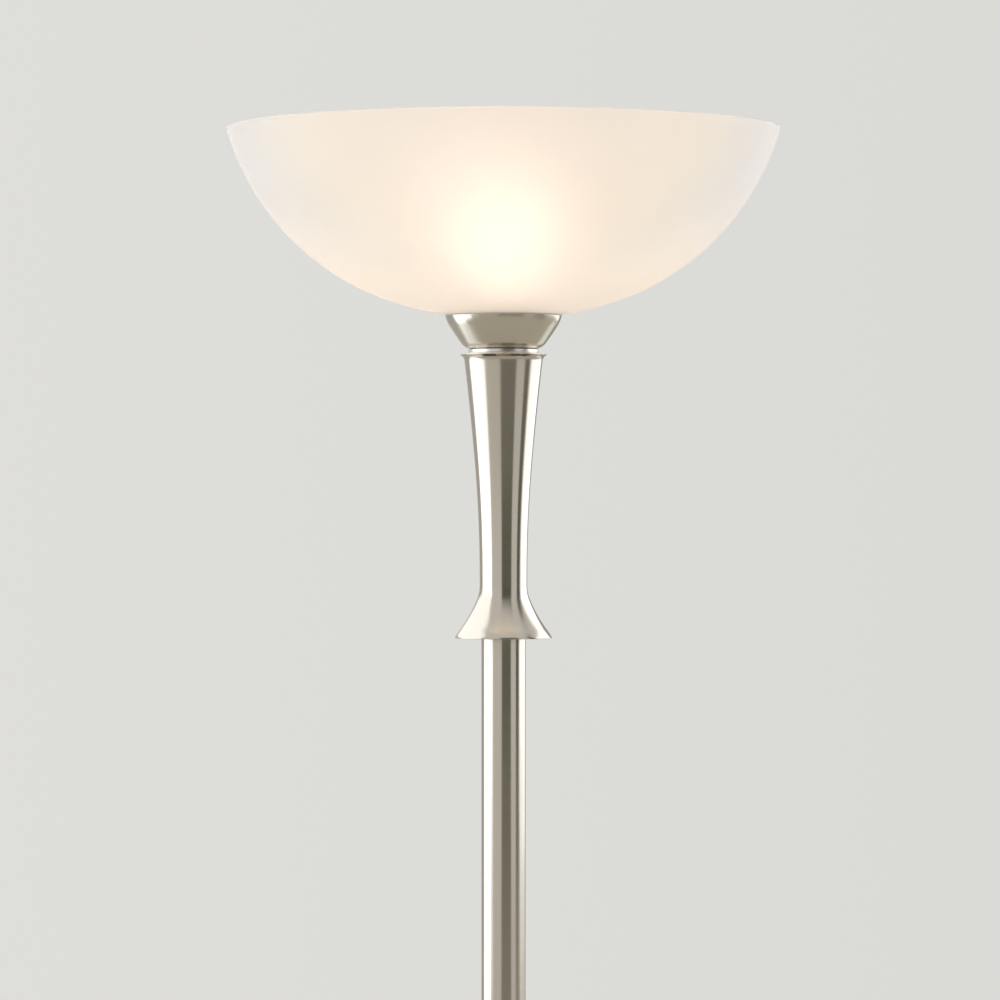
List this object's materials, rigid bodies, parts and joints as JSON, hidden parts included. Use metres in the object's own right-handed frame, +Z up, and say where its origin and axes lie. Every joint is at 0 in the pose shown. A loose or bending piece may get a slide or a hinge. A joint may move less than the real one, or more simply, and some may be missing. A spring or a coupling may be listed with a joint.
{
  "type": "torchiere floor lamp with reading light",
  "caption": "Torchiere floor lamp with an opal glass bowl on a trumpet-shaped column head, and a reading light on a swinging arm with a tilting head.",
  "frame": {"origin": "middle of the round foot, on the floor", "axes": "+Z up along the pole, +X along the reading arm at rest, -Y the front, where the dimmer knob faces"},
  "size_m": [0.5727, 0.3996, 1.801],
  "materials": {
    "satin_nickel": "satin brushed nickel plate",
    "polished_nickel": "polished nickel plate",
    "steel": "plain zinc-plated steel",
    "iron": "rough cast and painted",
    "felt": "black felt",
    "rubber": "matt black rubber",
    "nylon": "natural nylon",
    "black_plastic": "fine matt moulding",
    "white_plastic": "moulded white",
    "porcelain": "glazed white porcelain",
    "brass": "plain pressed brass",
    "cap_metal": "pressed aluminium",
    "lead": "insulated copper lead",
    "opal_glass": "frosted opal glass, lit from inside",
    "opal_glass_unlit": "frosted opal glass",
    "lit_bulb": "inside-frosted bulb, lit",
    "clear_white_bulb": "inside-frosted reflector bulb"
  },
  "bodies": {
    "stand": {"base_pad": "felt", "base_weight": "iron", "base_cover": "satin_nickel", "cord_bushing": "black_plastic", "foot_pipe": "steel", "pole_skirt": "satin_nickel", "lower_pole": "satin_nickel", "middle_pole": "satin_nickel", "switch_pole": "satin_nickel", "upper_pole": "satin_nickel", "lower_joiner": "steel", "middle_joiner": "steel", "foot_plug": "steel", "head_plug": "steel", "dimmer_body": "black_plastic", "dimmer_saddle": "satin_nickel", "dimmer_nut": "satin_nickel", "hub_core": "steel", "hub_cap": "satin_nickel", "slip_washers": "nylon", "trumpet": "satin_nickel", "neck_collar": "polished_nickel", "fitter_cup": "satin_nickel", "head_pipe": "steel", "pipe_nuts": "steel", "pipe_washers": "steel", "glass_gasket": "rubber", "glass_bowl": "opal_glass", "clamp_washer": "rubber", "clamp_ring": "white_plastic", "main_socket": "porcelain", "main_shell": "brass", "main_contact": "brass", "main_bulb_cap": "cap_metal", "main_bulb": "lit_bulb", "pole_leads": "lead"},
    "dimmer": {"dimmer_shaft": "steel", "dimmer_knob": "satin_nickel"},
    "arm": {"arm_collar": "satin_nickel", "stop_screw": "steel", "arm_grub_screw": "steel", "reading_arm": "satin_nickel", "arm_lead": "lead", "knuckle_fork": "satin_nickel", "friction_washers": "nylon", "knuckle_bolt": "satin_nickel", "spring_washer": "steel"},
    "thumb_nut": {"thumb_nut": "satin_nickel"},
    "head": {"knuckle_eye": "satin_nickel", "head_cup": "satin_nickel", "stem_nut": "steel", "head_socket": "white_plastic", "head_shell": "brass", "head_contact": "brass", "head_ring": "white_plastic", "head_shade": "opal_glass_unlit", "head_bulb_cap": "cap_metal", "head_bulb": "clear_white_bulb", "switch_bush": "satin_nickel"},
    "switch_knob": {"switch_knob": "black_plastic"}
  },
  "joints": [
    {"name": "arm_swivel", "type": "hinge", "parent": "stand", "child": "arm", "pos_m": [0, 0, 1.06], "axis": [0, 0, 1], "range_deg": [-155, 155]},
    {"name": "head_tilt", "type": "hinge", "parent": "arm", "child": "head", "pos_m": [0.311, 0, 1.105], "axis": [0, -1, 0], "range_deg": [-30, 100]},
    {"name": "thumb_nut_turn", "type": "hinge", "parent": "arm", "child": "thumb_nut", "pos_m": [0.311, -0.0125, 1.105], "axis": [0, -1, 0], "continuous": true},
    {"name": "dimmer_turn", "type": "hinge", "parent": "stand", "child": "dimmer", "pos_m": [0, -0.03, 0.96], "axis": [0, -1, 0], "range_deg": [-270, 0]},
    {"name": "switch_turn", "type": "hinge", "parent": "head", "child": "switch_knob", "pos_m": [0.336, 0, 1.056], "axis": [1, 0, 0], "continuous": true}
  ]
}
